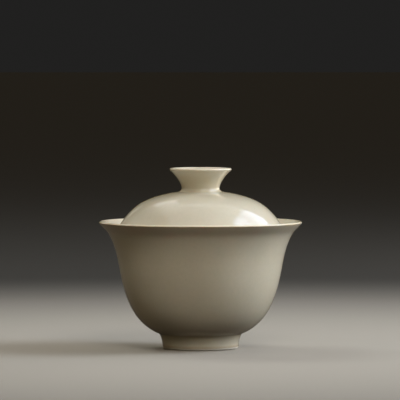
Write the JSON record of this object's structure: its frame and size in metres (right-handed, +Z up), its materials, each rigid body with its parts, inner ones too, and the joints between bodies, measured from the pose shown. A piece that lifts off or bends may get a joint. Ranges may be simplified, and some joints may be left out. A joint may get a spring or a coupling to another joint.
{
  "type": "gaiwan",
  "caption": "Bell-mouthed porcelain tea bowl on a foot ring, with a domed lid that sits inside its flared lip and has a dished knob.",
  "frame": {"origin": "on the bowl's axis, on the plane that the foot ring stands on", "axes": "+Z up along the axis that every piece is turned about; X and Y are interchangeable, because the object is round"},
  "size_m": [0.0998, 0.0998, 0.0888],
  "materials": {
    "cream_glaze": "gloss"
  },
  "bodies": {
    "bowl": {"bowl": "cream_glaze", "foot_ring": "cream_glaze"},
    "lid": {"lid": "cream_glaze", "lid_knob": "cream_glaze"}
  },
  "joints": [
    {"name": "lid_lift", "type": "slide", "parent": "bowl", "child": "lid", "axis": [0, 0, 1], "range_m": [0, 0.05]}
  ]
}
